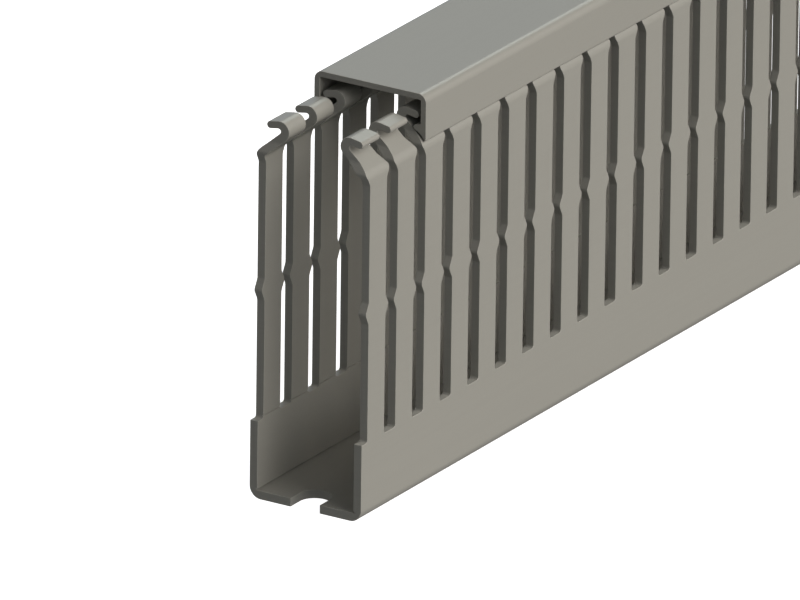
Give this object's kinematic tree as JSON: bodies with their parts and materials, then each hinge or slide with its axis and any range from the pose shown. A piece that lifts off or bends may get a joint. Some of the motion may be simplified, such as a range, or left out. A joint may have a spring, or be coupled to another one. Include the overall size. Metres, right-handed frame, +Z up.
{
  "type": "slotted wiring duct",
  "caption": "Tall, narrow slotted wiring duct with open finger walls that curl into hooks, fixing slots in its floor and a clip-on cover that slides along the hooks.",
  "frame": {"origin": "middle of the duct's length and width, on its underside, which is the face that goes against the mounting plate", "axes": "+Z up out of the mounting plate towards the cover, +Y along the duct away from the end that the cover stands back from, +X across the duct"},
  "size_m": [0.025, 0.5217, 0.08],
  "materials": {
    "duct_pvc": "stone grey rigid PVC, extruded, satin",
    "cover_pvc": "stone grey rigid PVC, extruded, satin"
  },
  "bodies": {
    "duct": {"duct_base": "duct_pvc"},
    "cover": {"cover": "cover_pvc"}
  },
  "joints": [
    {"name": "cover_slide", "type": "slide", "parent": "duct", "child": "cover", "axis": [0, 1, 0], "range_m": [-0.0217, 0.25]}
  ]
}
